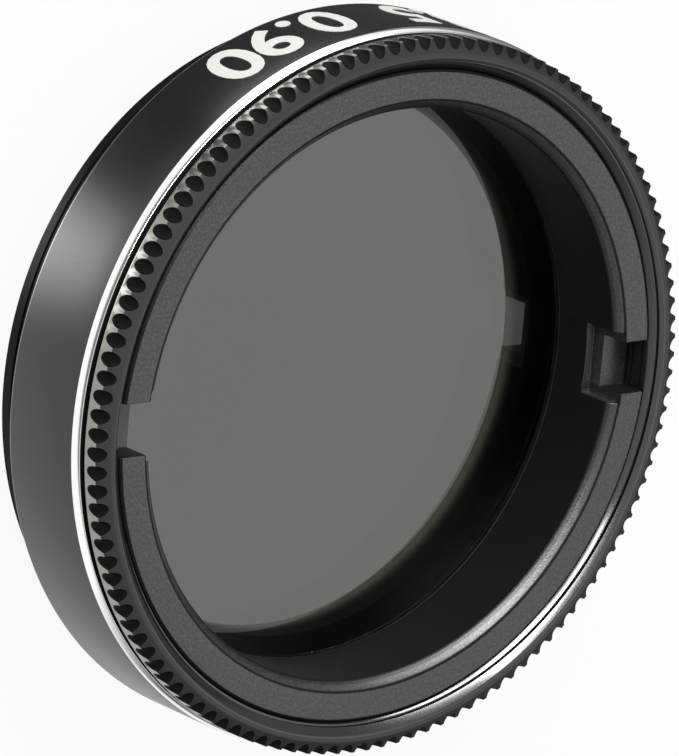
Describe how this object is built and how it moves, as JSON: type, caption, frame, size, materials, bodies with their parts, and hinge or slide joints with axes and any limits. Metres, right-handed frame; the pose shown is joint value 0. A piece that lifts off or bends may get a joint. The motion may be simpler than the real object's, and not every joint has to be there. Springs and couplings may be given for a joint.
{
  "type": "telescope moon filter",
  "caption": "Screw-in neutral density eyepiece filter: black anodised knurled cell with a thread at each end, grey glass disc and a slotted retaining ring.",
  "frame": {"origin": "on the optical axis, in the plane of the rear end of the male thread, on which the filter stands", "axes": "+Z along the optical axis towards the knurled front rim, +X along the spanner slots of the retaining ring"},
  "size_m": [0.0308, 0.0308, 0.0083],
  "materials": {
    "black_anodised": "satin black anodised, with one bright cut line",
    "ring_anodised": "fine blasted black anodised",
    "grey_glass": "polished neutral grey glass",
    "white_print": "white screen print"
  },
  "bodies": {
    "root": {"filter_cell": "black_anodised", "filter_glass": "grey_glass", "retaining_ring": "ring_anodised"}
  },
  "joints": []
}
